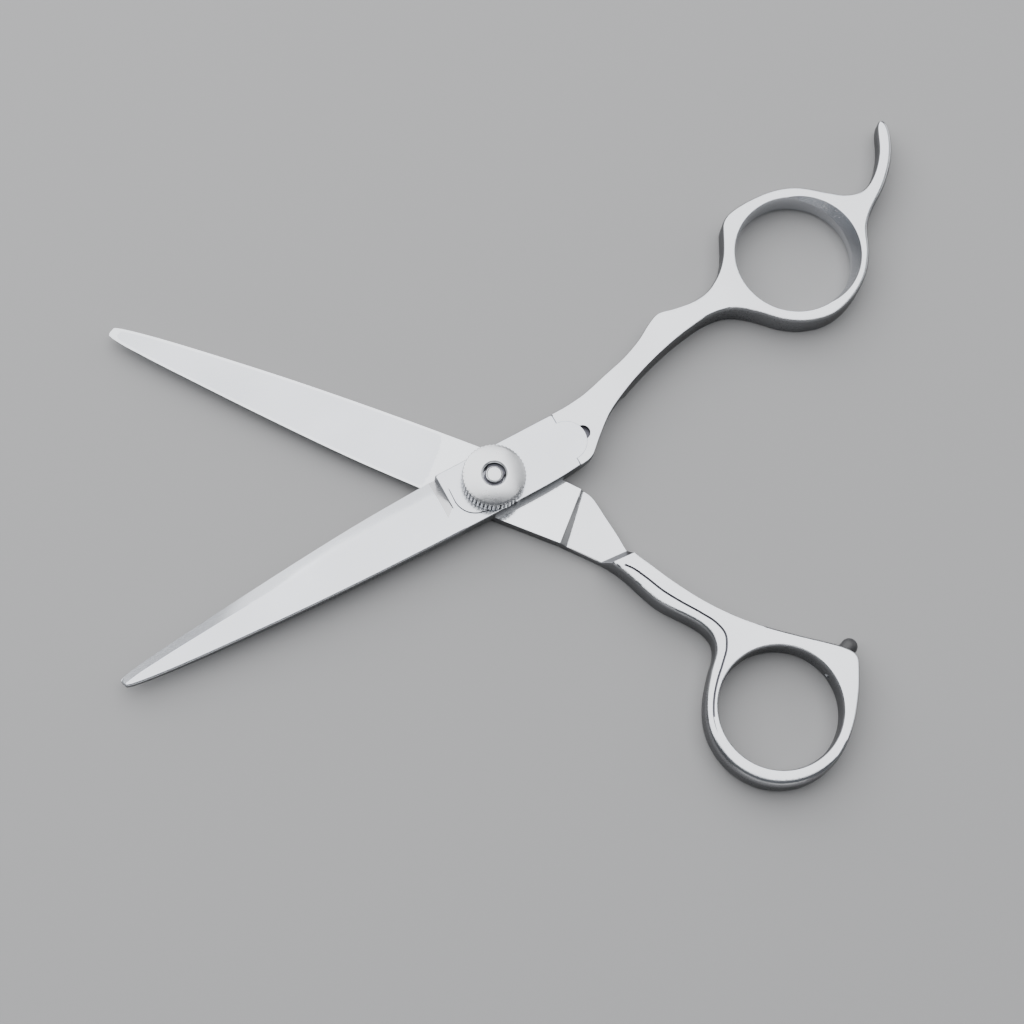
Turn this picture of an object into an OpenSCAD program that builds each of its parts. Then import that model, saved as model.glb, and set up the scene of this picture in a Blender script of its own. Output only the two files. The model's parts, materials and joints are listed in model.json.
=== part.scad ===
// Hair cutting shears: two offset-handle halves on a ball-bearing pivot with a click-stop knob.
// The pivot axis is Z and the shears lie on the plane z = 0. The blades point to -X, half open.
// Each half is drawn closed, with its tip on the -X axis, and then swung by half the opening.

/* [Opening] */
// Angle between the two blades as the shears lie, in degrees
open_angle = 50.6; // [0:0.2:110]

/* [Blades] */
// Distance from the pivot axis to the blade tips
blade_reach = 73.2; // [70:0.1:76]
// Thickness of each half at the pivot
half_t = 3; // [3:0.05:3.2]
// Thickness of each blade at its tip
tip_t = 1.2; // [0.8:0.1:1.6]
// Thickness left standing along the cutting edge
edge_t = 0.12; // [0.08:0.02:0.3]
// Width of the ground bevel behind the cutting edge
bevel_w = 3.4; // [2:0.1:4]
// Depth of the hollow grind in each inner face
hollow_depth = 0.12; // [0.05:0.01:0.2]
// Height of the flat pivot land above the outer blade face
land_h = 0.3; // [0.1:0.05:0.5]
// Gap between the two inner faces
ride_gap = 0.03; // [0.02:0.01:0.06]

/* [Blade to handle joint] */
// Distance from the pivot axis to the butt joint
joint_x = 14.9; // [14.5:0.1:15.5]
// Radius of the blade's round tongue end
tongue_r = 3.65; // [3:0.05:4]
// Thickness of the tongue
tongue_t = 1.3; // [1:0.1:1.6]
// Radius of the relief hole at the tongue's end
relief_r = 1.35; // [1:0.05:1.5]
// Depth that each haft's inner face is set back
haft_relief = 0.6; // [0.3:0.1:0.9]
// Length of the slope down to the set-back face
haft_ramp = 1; // [0.6:0.1:1.4]

/* [Finger rings] */
// Radius of the round bore of each ring
bore_r = 10.8; // [10:0.1:11]
// Length of the straight wall of each bore
bore_len = 3; // [2:0.1:4]
// How far the lips of each ring flare out from the bore
lip = 0.4; // [0.2:0.1:0.6]

/* [Pivot] */
// Diameter of the pivot screw's shaft
shaft_d = 4; // [3.6:0.1:4]
// Diameter of the pivot screw's flat head
head_d = 8.4; // [7.6:0.1:9]
// Thickness of the pivot screw's flat head
head_t = 1; // [0.8:0.1:1.2]
// Width of the square neck that keeps the screw from turning
neck_w = 4.6; // [4.4:0.1:5]
// Number of balls in the thrust bearing
ball_count = 12; // [8:1:14]

/* [Tension knob] */
// Diameter of the tension knob
knob_d = 11.3; // [11:0.1:12]
// Height of the knob's top above the plane that the shears lie on
knob_top = 9.8; // [9.8:0.1:10.4]
// Number of flutes round the knob
flutes = 48; // [24:4:60]
// Number of click positions in one turn
clicks = 20; // [12:2:24]

/* [Bumper] */
// Diameter of the rubber bumper
bumper_d = 3; // [2.4:0.1:3.2]
// How far the bumper stands out of the thumb ring
bumper_h = 2.9; // [2:0.1:3]

/* [Hidden] */
$fn = 64;

// How far a cutting solid reaches past what it cuts, the span of one that cuts right across,
// and the clearances of fitted parts
cut = 1;
wide = 60;
seat = 0.01;
run = 0.03;

full_t = 2 * half_t;
haft_half_w = 5.5;
// Where the handles butt against the blades
butt_x = joint_x + seat;
// Half width of the butt joint on the side of the spine, where its corner is rounded off
butt_low_w = 5.05;

// Blade outline with the half closed: tip on -X, cutting edge on +Y, anticlockwise
blade_edge = [[-10, 5.5], [-24, 4.95], [-40, 3.75], [-56, 2.25], [-66, 1.2], [-72.9, 0.25]];
blade_spine = [[-72.9, -1.3], [-72.1, -1.9], [-66, -2.75], [-56, -3.6], [-40, -4.6], [-24, -5.2],
               [-8, -5.5], [8, -5.5], [joint_x, -butt_low_w]];
tip = [-73.2, -0.5];
// Outer face of a blade: thickness at places along it
face_points = [[-16, 2.6], [-40, 2.2]];
// Where the ground blade ends in a heel, and the round end of the land behind it
heel_x = -8.7;
land_x = -7.8;
land_r = 3.6;
// Hollow grind: radius of the wheel, and the middle, length and turn of its path
hollow_r = 40;
hollow_mid = [-40, -0.4];
hollow_len = 56;
hollow_turn = 3;

// Handle outlines with the half closed, anticlockwise from the lower corner of the haft
finger_outline = [[butt_x, -butt_low_w], [17.4, -4.6], [20.2, -2.3], [24, 0.7], [28, 2.8],
                  [33, 4.8], [39, 6.6], [45, 7.8], [50, 8.1], [54, 7.1], [57.4, 4.4], [60.8, 1],
                  [64.6, -1.3], [69.2, -2.3], [74, -1.3], [78.4, 1.3], [81.5, 5], [83.7, 9.2],
                  [86.4, 11.8], [90.6, 14.6], [94.6, 18.4], [97.2, 22.4], [98, 25.2],
                  [97.3, 26.3], [96, 25.3], [93.6, 21], [90.4, 17.6], [87, 15.8], [83.7, 16.4],
                  [80.4, 18.8], [76.4, 21.9], [72, 23.5], [67, 23.9], [62.9, 23.5], [60.7, 22.4],
                  [59.4, 20.4], [57.4, 17], [54.8, 14.3], [51.4, 12.4], [48, 11.9], [44.4, 12.3],
                  [41.4, 12.9], [39, 12.1], [35.6, 10.2], [31.6, 8.6], [27, 7.4], [22, 6.1],
                  [18, 5.6], [butt_x, haft_half_w]];
thumb_outline = [[butt_x, -haft_half_w], [20, -5.9], [24.4, -6.3], [28, -7.3], [31.4, -8.7], [35, -9.9],
                 [39, -10.4], [42.8, -10.9], [45.6, -12.2], [46.9, -14.6], [47.2, -18],
                 [48, -22.6], [49.6, -26.6], [52.4, -30], [56.4, -32.4], [61, -33.2],
                 [65.4, -32.4], [69.4, -30], [72.2, -26.4], [73.5, -22], [73.5, -17],
                 [72.6, -12], [71.4, -8.2], [70.3, -5.9], [68.2, -5.2], [65, -5.4], [60, -6.1],
                 [54, -6.8], [48, -7.1], [42, -6.6], [36, -5.4], [31, -4], [27.2, -2.8],
                 [24, -0.4], [20.6, 2.1], [17.2, 4.5], [butt_x, butt_low_w]];
finger_bore = [69.2, 10.9];
thumb_bore = [60.8, -19.4];

// Line on each haft where it steps up to the full thickness, the pivot lying to its left
finger_step = [[28.4, 2.4], [22.4, 8.4]];
thumb_step = [[22.1, -6.7], [26.9, -1.7]];
step_run = 1.5;
relief_x = joint_x + tongue_r - 0.35;

// The finger rest thins towards its tip
rest_root = [87, 14];
rest_turn = 48;
rest_len = 18;
rest_thin = 1.2;

// Bumper seat on the corner of the thumb ring, and the direction that it points
bumper_seat = [68.1, -5.4];
bumper_turn = 70;
bumper_sunk = 0.3;
stem_r = 0.9;
plug_len = 1.2;
stud_end = 5;
bumper_dome = 1.3;

// The stack on the pivot, from the inner face of the finger half upwards
shaft_r = shaft_d / 2;
head_r = head_d / 2;
neck_end = head_t + 1.2;
finger_z = half_t + ride_gap;
finger_top = finger_z + half_t;
bush_r = shaft_r + 1;
bush_len = 1.37;
bush_top = finger_z + bush_len;
race_r = 4.3;
race_bore = shaft_r + 0.1;
race_t = 0.38;
ball_r = 0.38;
ball_ring = 3.2;
cage_w = 1.6;
cage_t = 0.3;
play = 0.02;
ball_z = bush_top + race_t + ball_r + 2 * play;
upper_race_z = ball_z + ball_r + play;
washer_t = 0.22;
washer_rise = 0.24;
washer_z = finger_top + play;
plate_z = washer_z + washer_t + washer_rise + play;
plate_t = 0.5;
plate_r = 4.2;
flat_w = 3.2;
dimple_h = 0.15;
dimple_r = 0.4;
cavity_r = 4.5;
cavity_top = plate_z + plate_t + dimple_h;
knob_r = knob_d / 2;
knob_base = finger_top + 0.04;
flute_top = knob_top - 1;
dome_r = 14.2;
chamfer = 0.2;
flute_r = 0.22;
flute_out = 0.08;
window_r = 2.05;
window_lip = 0.28;
button_r = 1.55;
button_round = 0.5;
button_top = 0.9;
thread_top = knob_top - 1.1;
detent_r = 0.4;
detent_ring = 3.4;
detent_z = plate_z + plate_t + detent_r + play;
pocket_r = detent_r + 0.05;
pocket_top = thread_top;

// A point on the smooth curve between b and c, whose neighbours are a and d
function curve_point(a, b, c, d, t) =
    0.5 * (2 * b + (c - a) * t + (2 * a - 5 * b + 4 * c - d) * t * t
           + (3 * b - a - 3 * c + d) * t * t * t);
// A smooth curve through the points p, with n steps from each to the next
function smooth(p, n = 3) = let(last = len(p) - 1)
    concat([for (i = [0:last - 1], k = [0:n - 1])
        curve_point(p[max(i - 1, 0)], p[i], p[i + 1], p[min(i + 2, last)], k / n)], [p[last]]);
// A tube of radius r that follows the points p
module tube(p, r, sides = 6) {
    n = len(p);
    function along(i) = p[min(i + 1, n - 1)] - p[max(i - 1, 0)];
    points = [for (i = [0:n - 1], k = [0:sides - 1])
        let(d = along(i) / norm(along(i)), u = cross(d, [0, 0, 1]) / norm(cross(d, [0, 0, 1])),
            v = cross(u, d), a = 360 * k / sides)
        p[i] + r * (cos(a) * u + sin(a) * v)];
    sides_list = [for (i = [0:n - 2], k = [0:sides - 1], side = [0, 1])
        let(a = i * sides + k, b = i * sides + (k + 1) % sides)
        side == 0 ? [a, b, a + sides] : [b, b + sides, a + sides]];
    polyhedron(points, concat([[for (k = [sides - 1:-1:0]) k]], sides_list,
                              [[for (k = [0:sides - 1]) (n - 1) * sides + k]]), convexity = 8);
}

module finger_pose() rotate([0, 0, open_angle / 2]) children();
module thumb_pose() rotate([0, 0, -open_angle / 2]) children();

// Swaps top for underside
module inverted() translate([0, 0, full_t]) mirror([0, 0, 1]) children();

// A bar with the section [y, z], running along X from x0 to x1
module bar_x(x0, x1, section) translate([x0, 0, 0]) rotate([90, 0, 90])
    linear_extrude(x1 - x0) polygon(section);
// A bar with the section [x, z], running along Y from -w to w
module bar_y(w, section) translate([0, w, 0]) rotate([90, 0, 0])
    linear_extrude(2 * w) polygon(section);
// A washer from z = 0 to t
module washer(outer, inner, t) difference() {
    cylinder(r = outer, h = t);
    translate([0, 0, -cut]) cylinder(r = inner, h = t + 2 * cut);
}
// Copies of a child at equal steps round the pivot axis
module around(count, radius) for (i = [0:count - 1])
    rotate([0, 0, i * 360 / count]) translate([radius, 0, 0]) children();

// Blade blank, inner face on z = 0 and outer face up, with the land round the pivot
module blade_blank() {
    stretch = blade_reach / -tip[0];
    outline = concat([[joint_x, haft_half_w]], smooth(blade_edge), [tip], smooth(blade_spine));
    face = half_t - land_h;
    intersection() {
        linear_extrude(half_t) polygon([for (p = outline) [p[0] < 0 ? p[0] * stretch : p[0], p[1]]]);
        union() {
            bar_y(wide, concat([[joint_x + cut, -cut], [joint_x + cut, face]], face_points,
                               [[-blade_reach - cut, tip_t], [-blade_reach - cut, -cut]]));
            translate([land_x + land_r, 0, 0]) cylinder(r = land_r, h = half_t);
            translate([land_x + land_r, -haft_half_w, 0])
                cube([joint_x - land_x - land_r, 2 * haft_half_w, half_t]);
            translate([heel_x, 1, 0]) cube([-heel_x, haft_half_w, face + land_h / 2]);
        }
    }
}

// Wedge that grinds the outer face down to the cutting edge, between two points of the edge
module edge_wedge(a, b, past) {
    way = b - a;
    translate([a[0], a[1], 0]) rotate([0, 0, atan2(way[1], way[0])])
        bar_x(0, norm(way) + past, [[bevel_w, half_t], [0, edge_t], [-bevel_w, edge_t],
                                    [-bevel_w, half_t + cut], [bevel_w, half_t + cut]]);
}

// Finished blade: ground edge, hollow inner face and the tongue that laps over the haft
module blade() {
    last = len(blade_edge) - 1;
    difference() {
        blade_blank();
        for (i = [0:last - 1]) edge_wedge(blade_edge[i], blade_edge[i + 1], i == last - 1 ? 2 : 0.3);
        translate([hollow_mid[0], hollow_mid[1], hollow_depth - hollow_r]) rotate([0, 0, hollow_turn])
            rotate([90, 0, 90]) cylinder(r = hollow_r, h = hollow_len, center = true, $fn = 180);
    }
    translate([joint_x, 0, half_t - tongue_t]) intersection() {
        cylinder(r = tongue_r, h = tongue_t);
        translate([-seat, -tongue_r, 0]) cube([2 * tongue_r, 2 * tongue_r, tongue_t]);
    }
}

// What the tongue and the step take out of a handle, drawn for the thumb half: inner face up
module haft_cuts(step) {
    way = step[1] - step[0];
    low = half_t - haft_relief;
    top = full_t + cut;
    slope = step_run / (full_t - low);
    difference() {
        translate([step[0][0], step[0][1], 0]) rotate([0, 0, atan2(way[1], way[0])])
            bar_x(-wide, wide, [[0, low], [wide, low], [wide, top], [slope * (low - top), top]]);
        bar_y(wide, [[0, 0], [0, half_t], [butt_x, half_t], [butt_x + haft_ramp, low],
                     [butt_x + haft_ramp, 0]]);
    }
    translate([joint_x, 0, -cut]) cylinder(r = tongue_r + seat, h = tongue_t + cut + seat);
    translate([relief_x, 0, -cut]) cylinder(r = relief_r, h = tongue_t + cut);
}

// Ring bore with rounded lips at both faces, on its own axis
module ring_bore() {
    lip_h = (full_t - bore_len) / 2;
    top = half_t + bore_len / 2;
    flare = [for (a = [0:15:90]) [bore_r + lip * (1 - cos(a)), top + lip_h * sin(a)]];
    low_flare = [for (i = [len(flare) - 1:-1:0]) [flare[i][0], full_t - flare[i][1]]];
    rotate_extrude($fn = 128) polygon(concat([[0, -cut], [bore_r + lip, -cut]], low_flare, flare,
                                             [[bore_r + lip, full_t + cut], [0, full_t + cut]]));
}

module bumper_place() translate([bumper_seat[0], bumper_seat[1], half_t])
    rotate([0, 0, bumper_turn]) rotate([0, 90, 0]) children();

module finger_blade() color("silver") finger_pose() difference() {
    translate([0, 0, finger_z]) blade();
    translate([0, 0, finger_z - cut]) cylinder(r = bush_r + seat, h = half_t + 2 * cut);
    translate([0, 0, bush_top]) cylinder(r = race_r + 2 * run, h = half_t);
}

module finger_handle() color("gainsboro") finger_pose() difference() {
    linear_extrude(full_t) polygon(smooth(finger_outline));
    translate([0, 0, ride_gap]) inverted() haft_cuts(finger_step);
    translate([finger_bore[0], finger_bore[1], 0]) ring_bore();
    rest_taper();
    inverted() rest_taper();
}

// Wedge that thins the finger rest from its underside towards the tip
module rest_taper() translate([rest_root[0], rest_root[1], 0]) rotate([0, 0, rest_turn])
    bar_y(6, [[0, 0], [rest_len, rest_thin], [rest_len, -cut], [0, -cut]]);

module thumb_blade() color("silver") thumb_pose() difference() {
    translate([0, 0, half_t]) rotate([180, 0, 0]) blade();
    translate([0, 0, -cut]) cylinder(r = shaft_r + seat, h = half_t + 2 * cut);
    translate([0, 0, -cut]) cylinder(r = head_r + run, h = head_t + cut + seat);
    translate([-neck_w / 2 - seat, -neck_w / 2 - seat, 0])
        cube([neck_w + 2 * seat, neck_w + 2 * seat, neck_end + seat]);
}

module thumb_handle() color("gainsboro") thumb_pose() difference() {
    linear_extrude(full_t) polygon(smooth(thumb_outline));
    haft_cuts(thumb_step);
    translate([thumb_bore[0], thumb_bore[1], 0]) ring_bore();
    bumper_place() translate([0, 0, -stud_end - cut]) cylinder(r = stem_r + seat, h = stud_end + cut);
    bumper_place() translate([0, 0, -bumper_sunk]) cylinder(r = bumper_d / 2 + seat, h = bumper_h);
}

// Flat head, square neck and shaft with two flats, ending in a plain domed button
module pivot_screw() color("dimgray") thumb_pose() {
    cylinder(r = head_r, h = head_t);
    translate([-neck_w / 2, -neck_w / 2, head_t]) cube([neck_w, neck_w, neck_end - head_t]);
    translate([0, 0, neck_end]) cylinder(r = shaft_r, h = finger_top - neck_end);
    intersection() {
        translate([0, 0, finger_top]) cylinder(r = shaft_r, h = thread_top - finger_top);
        translate([-flat_w / 2, -shaft_r, finger_top])
            cube([flat_w, 2 * shaft_r, thread_top - finger_top]);
    }
    translate([0, 0, thread_top]) rotate_extrude()
        polygon(concat([[0, 0], [button_r, 0]],
                       [for (a = [0:15:90]) [button_r + button_round * (cos(a) - 1),
                                             button_top + button_round * (sin(a) - 1)]],
                       [[0, button_top + 0.1]]));
}

module pivot_bush() color("peru") finger_pose()
    translate([0, 0, finger_z]) washer(bush_r, shaft_r + run, bush_top - finger_z);

module bearing_lower_race() color("lightsteelblue") finger_pose()
    translate([0, 0, bush_top]) washer(race_r, race_bore, race_t);

module bearing_balls() color("white")
    around(ball_count, ball_ring) translate([0, 0, ball_z]) sphere(r = ball_r, $fn = 32);

module bearing_cage() color("goldenrod") difference() {
    translate([0, 0, ball_z - cage_t / 2])
        washer(ball_ring + cage_w / 2, ball_ring - cage_w / 2, cage_t);
    around(ball_count, ball_ring) translate([0, 0, ball_z - cut])
        cylinder(r = ball_r + run, h = 2 * cut);
}

module bearing_upper_race() color("lightsteelblue") thumb_pose()
    translate([0, 0, upper_race_z]) washer(race_r, race_bore, finger_top - upper_race_z);

// Dished spring washer, highest at its bore
module spring_washer() color("slategray") thumb_pose() translate([0, 0, washer_z])
    rotate_extrude() polygon([[race_bore, washer_rise], [race_r, 0], [race_r, washer_t],
                              [race_bore, washer_rise + washer_t]]);

// Plate held still by the screw's flats, with a ring of dimples for the click stops
module click_plate() color("darkgray") thumb_pose() difference() {
    translate([0, 0, plate_z]) cylinder(r = plate_r, h = plate_t);
    intersection() {
        translate([0, 0, plate_z - cut]) cylinder(r = shaft_r + run, h = plate_t + 2 * cut);
        translate([-flat_w / 2 - run, -plate_r, plate_z - cut])
            cube([flat_w + 2 * run, 2 * plate_r, plate_t + 2 * cut]);
    }
    around(clicks, detent_ring) translate([0, 0, plate_z + plate_t - dimple_h])
        cylinder(r1 = dimple_r / 2, r2 = dimple_r, h = dimple_h + seat, $fn = 24);
}

module tension_knob() color("lightgray") thumb_pose() difference() {
    rim = knob_r - chamfer;
    lip_r = window_r + window_lip;
    crown = [for (k = [0:6]) let(r = rim + (lip_r - rim) * k / 6)
        [r, knob_top - (r * r - lip_r * lip_r) / (2 * dome_r)]];
    rotate_extrude($fn = 96) polygon(concat([[0, knob_base], [rim, knob_base],
                                             [knob_r, knob_base + chamfer],
                                             [knob_r, flute_top - chamfer], [rim, flute_top]], crown,
                                            [[window_r, knob_top - chamfer], [0, knob_top - chamfer]]));
    translate([0, 0, knob_base - cut]) cylinder(r = cavity_r, h = cavity_top - knob_base + cut);
    translate([0, 0, knob_base]) cylinder(r = shaft_r + run, h = knob_top);
    translate([0, 0, thread_top]) cylinder(r = window_r, h = knob_top);
    around(2, detent_ring) translate([0, 0, knob_base])
        cylinder(r = pocket_r, h = pocket_top - knob_base);
    around(flutes, knob_r + flute_out) translate([0, 0, knob_base - cut])
        cylinder(r = flute_r, h = flute_top - knob_base + cut - 0.1, $fn = 16);
}

module detent_balls() color("white") thumb_pose()
    around(2, detent_ring) translate([0, 0, detent_z]) sphere(r = detent_r, $fn = 32);

// Small coil springs that press the detent balls down
module detent_springs() color("slategray") thumb_pose() {
    wire_r = 0.06;
    coil_r = detent_r - wire_r - 0.03;
    low = detent_z + detent_r + wire_r + play;
    high = pocket_top - wire_r - play;
    turns = 4;
    steps = turns * 12;
    around(2, detent_ring) tube([for (i = [0:steps]) let(a = 360 * turns * i / steps)
        [coil_r * cos(a), coil_r * sin(a), low + (high - low) * i / steps]], wire_r);
}

module bumper() color("dimgray") thumb_pose() bumper_place() {
    r = bumper_d / 2;
    rotate_extrude() polygon(concat([[0, -bumper_sunk], [r, -bumper_sunk]],
        [for (a = [0:15:90]) [r * cos(a), bumper_h + bumper_dome * (sin(a) - 1)]]));
    translate([0, 0, -bumper_sunk - plug_len]) cylinder(r = stem_r, h = plug_len);
}

module bumper_stud() color("darkgray") thumb_pose() bumper_place()
    translate([0, 0, -stud_end]) cylinder(r = stem_r, h = stud_end - bumper_sunk - plug_len);

finger_blade();
finger_handle();
thumb_blade();
thumb_handle();
pivot_screw();
pivot_bush();
bearing_lower_race();
bearing_cage();
bearing_balls();
bearing_upper_race();
spring_washer();
click_plate();
tension_knob();
detent_springs();
detent_balls();
bumper();
bumper_stud();
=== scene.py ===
import json
import math

import bmesh
import bpy
import numpy as np
from mathutils import Matrix, Vector
from mathutils.geometry import delaunay_2d_cdt


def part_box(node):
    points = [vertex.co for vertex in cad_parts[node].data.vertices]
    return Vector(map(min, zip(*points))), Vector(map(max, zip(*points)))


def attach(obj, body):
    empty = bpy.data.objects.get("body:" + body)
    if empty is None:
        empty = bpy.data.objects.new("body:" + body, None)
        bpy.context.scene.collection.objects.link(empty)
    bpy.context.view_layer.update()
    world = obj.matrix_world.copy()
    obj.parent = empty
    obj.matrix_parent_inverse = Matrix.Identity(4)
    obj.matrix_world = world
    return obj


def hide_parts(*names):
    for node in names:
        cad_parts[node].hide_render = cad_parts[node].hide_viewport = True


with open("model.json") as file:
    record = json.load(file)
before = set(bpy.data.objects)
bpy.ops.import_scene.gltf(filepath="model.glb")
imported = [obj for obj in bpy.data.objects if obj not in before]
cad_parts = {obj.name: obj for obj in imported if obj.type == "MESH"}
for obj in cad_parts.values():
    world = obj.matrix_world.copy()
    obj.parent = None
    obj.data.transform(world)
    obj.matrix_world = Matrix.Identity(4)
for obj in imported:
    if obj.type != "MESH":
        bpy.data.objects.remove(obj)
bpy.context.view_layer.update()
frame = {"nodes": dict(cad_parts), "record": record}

# Shapes are worked out in millimetres, in each half's own frame: the half closed, its tip on -X
# and the pivot axis at the origin. Each half is then turned by half the opening.
MM = 0.001
HALF_OPEN = 25.3
HALF_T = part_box("thumb_blade")[1].z / MM
FULL_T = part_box("thumb_handle")[1].z / MM
FINGER_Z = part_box("finger_blade")[0].z / MM
GAP = FINGER_Z - HALF_T

# Creases sharper than this, in degrees, are shown as edges
SHARP = 24

# Handles: the butt joint, the haft with a ramp behind it, and the step up to the shank
BUTT_X = 14.91
BUTT_DROP = 0.09
BUTT_RUN = 0.1
HAFT_H = 2.4
RAMP_W = 0.85
RAMP_TAPER = 0.085
RAMP_LEAST = 0.3
STEP_RUN = 1.5
FINGER_STEP = np.array([[28.4, 2.4], [22.4, 8.4]])
THUMB_STEP = np.array([[22.1, -6.7], [26.9, -1.7]])
BORE_R = 10.8
BORE_LEN = 3.0
LIP = 0.4

# Heights of the handles' outlines. The thumb handle's is below the bumper's seat.
THUMB_CUT = 1.4
FINGER_CUT = FULL_T - 1.8

# How far a handle's rounded flank reaches in, and down, at some distances from the pivot
FLANK_X = [16, 24, 46, 54]
FLANK_IN = [0.2, 0.35, 0.5, 0.85]
FLANK_DOWN = [0.2, 0.5, 0.9, 1.5]
FLANK_INSETS = [0.03, 0.1, 0.2, 0.34, 0.52, 0.72, 0.95]

# Least and greatest size of each handle's flanks, and the direction in which they are greatest
THUMB_FLANKS = (0.4, 1.4, 250)
FINGER_FLANKS = (0.55, 0.55, 0)

# The share of a flank's width that is steep, outside which the flank is painted dark as shade
CREASE = 0.5

# The finger ring's bore is scooped wider on the side of the rest, and the rest thins towards its tip.
SCOOP_OFF = 1.4
SCOOP_TURN = -10
SCOOP_DEPTH = 2.6
SCOOP_LOW = 9.35
SCOOP_TOP = 10.85
REST_ROOT = np.array([87, 14])
REST_TURN = 48
REST_LEN = 18
REST_THIN = 1.2

# The groove on the thumb shank, which fades by x - y, and the facet outside it
GROOVE = np.array([[26.9, -5.75], [28.2, -5.8], [31.1, -6.5], [34.6, -7.6], [38.2, -8.3], [42.1, -8.85],
                   [45.3, -9.55], [47.4, -10.8], [48.4, -12.9], [48.75, -16], [48.9, -19], [49.5, -22.5],
                   [50.8, -25.8], [53, -28.6], [55.85, -30.5], [59.1, -31.6]])
GROOVE_W = 0.2
GROOVE_H = 0.14
GROOVE_ALONG = [31, 33, 72, 84]
GROOVE_SHARE = [0, 1, 1, 0]
# Span along the shank, by x - y, in which the groove is painted dark as shade
GROOVE_SHADE_SPAN = (32, 76)
FACET_W = 1.6
FACET_SLOPE = 0.08

# Blades: the ground edge, and the face's height and convex width along the blade
EDGE_T = 0.12
EDGE_SLOPE = 0.847
EDGE_SLICE = 0.005
FACE_X = [-73.2, -40, -16, 14.9]
FACE_H = [1.2, 2.2, 2.6, 2.7]
CONVEX_X = [-73.2, -60, -30, -10]
CONVEX_W = [2.0, 3.6, 8.5, 8.5]
FACET_FROM = -38
FACET_RUN = 18
SPINE_ROUND = 0.35
TIP_ROUND_X = -71.8
HEEL = np.array([[-8.7, 7.0], [-8.75, -1.0]])
HEEL_CUT = np.array([[-9.8, 7.0], [-10.3, -2.3], [-8.75, -1.0]])
HEEL_SINK = 0.16
HEEL_WALL = 0.16
LAND = np.array([[-7.0, 7.0], [-7.5, 4.0], [-7.8, 1.2], [-7.7, -1.4], [-6.9, -2.9], [-5.6, -3.9],
                 [-3.9, -4.4], [-1.6, -4.7], [1.0, -5.3], [3.6, -6.4]])
LAND_WALL = 0.12

# Inner faces: the ride line, and the hollow between two distances from the pivot
RIDE_W = 0.45
HOLLOW = 0.12
HOLLOW_X = (-71.8, -11)
BLADE_INSETS = [0.03, 0.09, 0.18, 0.27, 0.36, RIDE_W, 0.7, 1.0]

# Tongue joint: the blade's round tongue in the handle's outer side, and the relief hole at its end
TONGUE_X = 14.9
TONGUE_R = 3.65
TONGUE_T = 1.3
RELIEF_X = 18.2
RELIEF_R = 1.35
SEAT = 0.01

# Pivot
SHAFT_R = 2.0
HEAD_R = 4.2
HEAD_T = 1.0
NECK_W = 4.6
NECK_END = 2.2
FLAT_W = 3.2
THREAD_TOP = 8.7
BUTTON_TOP = 9.67
BUSH_R = 3.01
RACE_R = 4.36
BUSH_LEN = 1.37
BUTTON_R = 1.55

# Tension knob
KNOB_R = 5.65
KNOB_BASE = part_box("tension_knob")[0].z / MM
KNOB_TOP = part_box("tension_knob")[1].z / MM
FLUTES = 48
FLUTE_H = 0.26
RIM_ROUND = 0.3
DOME_R = 14.2
WINDOW_R = 2.05
LIP_R = 2.33
CAVITY_R = 4.5
CAVITY_TOP = 7.18
POCKET_R = 0.45
POCKET_RING = 3.4

# Bumper
BUMPER_SEAT = (68.1, -5.4)
BUMPER_TURN = 70
BUMPER_R = 1.5
BUMPER_H = 2.9
BUMPER_SUNK = 0.3
STEM_R = 0.9
PLUG_END = 1.5
STUD_END = 5.0

# Points round a ring's bore, and the steepness of a normal that counts as a wall
RING_POINTS = 144
STEEP = 0.35


# ---- outlines

def turned(points, degrees):
    """Points turned about the pivot axis."""
    a = math.radians(degrees)
    spin = np.array([[math.cos(a), math.sin(a)], [-math.sin(a), math.cos(a)]])
    return np.asarray(points, float) @ spin


def direction(degrees):
    """Unit vector at an angle."""
    return np.array([math.cos(math.radians(degrees)), math.sin(math.radians(degrees))])


def lengths(rows):
    """Length of each row."""
    return np.linalg.norm(rows, axis=1)


def unit(rows):
    """Each row scaled to a length of 1."""
    return rows / lengths(rows)[:, None]


def cad_outline(node, height, turn):
    """Outer outline of a CAD node cut at a height, in its half's own frame, with its corners only."""
    bm = bmesh.new()
    bm.from_mesh(frame["nodes"][node].data)
    bmesh.ops.remove_doubles(bm, verts=bm.verts, dist=1e-7)
    bmesh.ops.bisect_plane(bm, geom=bm.verts[:] + bm.edges[:] + bm.faces[:], dist=1e-9,
                           plane_co=(0, 0, height * MM), plane_no=(0, 0, 1),
                           clear_outer=True, clear_inner=True)
    bmesh.ops.remove_doubles(bm, verts=bm.verts, dist=2e-6)
    loops = []
    unseen = set(bm.verts)
    while unseen:
        start = here = unseen.pop()
        loop = [start]
        while True:
            onward = [e.other_vert(here) for e in here.link_edges if e.other_vert(here) in unseen]
            if not onward:
                break
            here = onward[0]
            unseen.discard(here)
            loop.append(here)
        loops.append(np.array([v.co.xy for v in loop]) / MM)
    bm.free()
    outer = max(loops, key=lambda p: np.ptp(p[:, 0]))
    return without_straight_points(turned(outer, turn))


def without_straight_points(loop, limit=0.4):
    """The loop, anticlockwise, with only the points where it turns by more than the limit in degrees."""
    x, y = loop[:, 0], loop[:, 1]
    if np.sum(x * np.roll(y, -1) - np.roll(x, -1) * y) < 0:
        loop = loop[::-1]
    kept = True
    while kept:
        bend = corner_angles(loop)
        flat = bend < limit
        flat &= ~np.roll(flat, 1)
        kept = flat.any()
        loop = loop[~flat]
    return loop


def corner_angles(loop):
    """How far a loop turns at each of its points, in degrees."""
    before = loop - np.roll(loop, 1, 0)
    after = np.roll(loop, -1, 0) - loop
    cross = before[:, 0] * after[:, 1] - before[:, 1] * after[:, 0]
    return np.degrees(np.abs(np.arctan2(cross, (before * after).sum(1))))


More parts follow.
